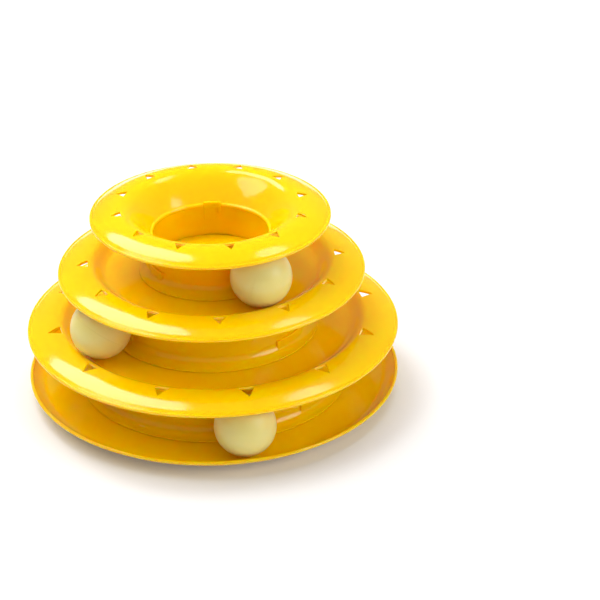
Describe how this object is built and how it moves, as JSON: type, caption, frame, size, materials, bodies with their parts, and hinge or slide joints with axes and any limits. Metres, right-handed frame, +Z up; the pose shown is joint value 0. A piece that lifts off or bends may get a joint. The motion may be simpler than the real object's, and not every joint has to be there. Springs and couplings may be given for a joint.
{
  "type": "cat ball track toy",
  "caption": "Round tower of stacked saucer rings that twist-lock together, with a hollow ball trapped in the track under each ring.",
  "frame": {"origin": "on the surface that the toy stands on, at the tower's axis", "axes": "+Z up along the tower's axis, -Y towards the viewer, +X to the viewer's right"},
  "size_m": [0.251, 0.251, 0.1334],
  "materials": {
    "yellow_moulding": "glossy injection-moulded polypropylene",
    "ball_shell": "satin, milky hollow ball",
    "soft_pad": "matt soft pad"
  },
  "bodies": {
    "tray": {"base_tray": "yellow_moulding", "foot_pad_1": "soft_pad", "foot_pad_2": "soft_pad", "foot_pad_3": "soft_pad", "foot_pad_4": "soft_pad", "foot_pad_5": "soft_pad", "foot_pad_6": "soft_pad"},
    "lower_ring": {"lower_ring": "yellow_moulding"},
    "middle_ring": {"middle_ring": "yellow_moulding"},
    "top_ring": {"top_ring": "yellow_moulding"},
    "lower_ball": {"lower_ball": "ball_shell"},
    "middle_ball": {"middle_ball": "ball_shell"},
    "upper_ball": {"upper_ball": "ball_shell"}
  },
  "joints": [
    {"name": "lower_ring_twist", "type": "hinge", "parent": "tray", "child": "lower_ring", "pos_m": [0, 0, 0.0066], "axis": [0, 0, 1], "range_deg": [0, 12]},
    {"name": "middle_ring_twist", "type": "hinge", "parent": "lower_ring", "child": "middle_ring", "pos_m": [0, 0, 0.047], "axis": [0, 0, 1], "range_deg": [0, 12]},
    {"name": "top_ring_twist", "type": "hinge", "parent": "middle_ring", "child": "top_ring", "pos_m": [0, 0, 0.0872], "axis": [0, 0, 1], "range_deg": [0, 12]},
    {"name": "lower_ball_roll", "type": "hinge", "parent": "tray", "child": "lower_ball", "pos_m": [0, 0, 0.0266], "axis": [0, 0, 1], "continuous": true},
    {"name": "middle_ball_roll", "type": "hinge", "parent": "lower_ring", "child": "middle_ball", "pos_m": [0, 0, 0.067], "axis": [0, 0, 1], "continuous": true},
    {"name": "upper_ball_roll", "type": "hinge", "parent": "middle_ring", "child": "upper_ball", "pos_m": [0, 0, 0.1072], "axis": [0, 0, 1], "continuous": true}
  ]
}
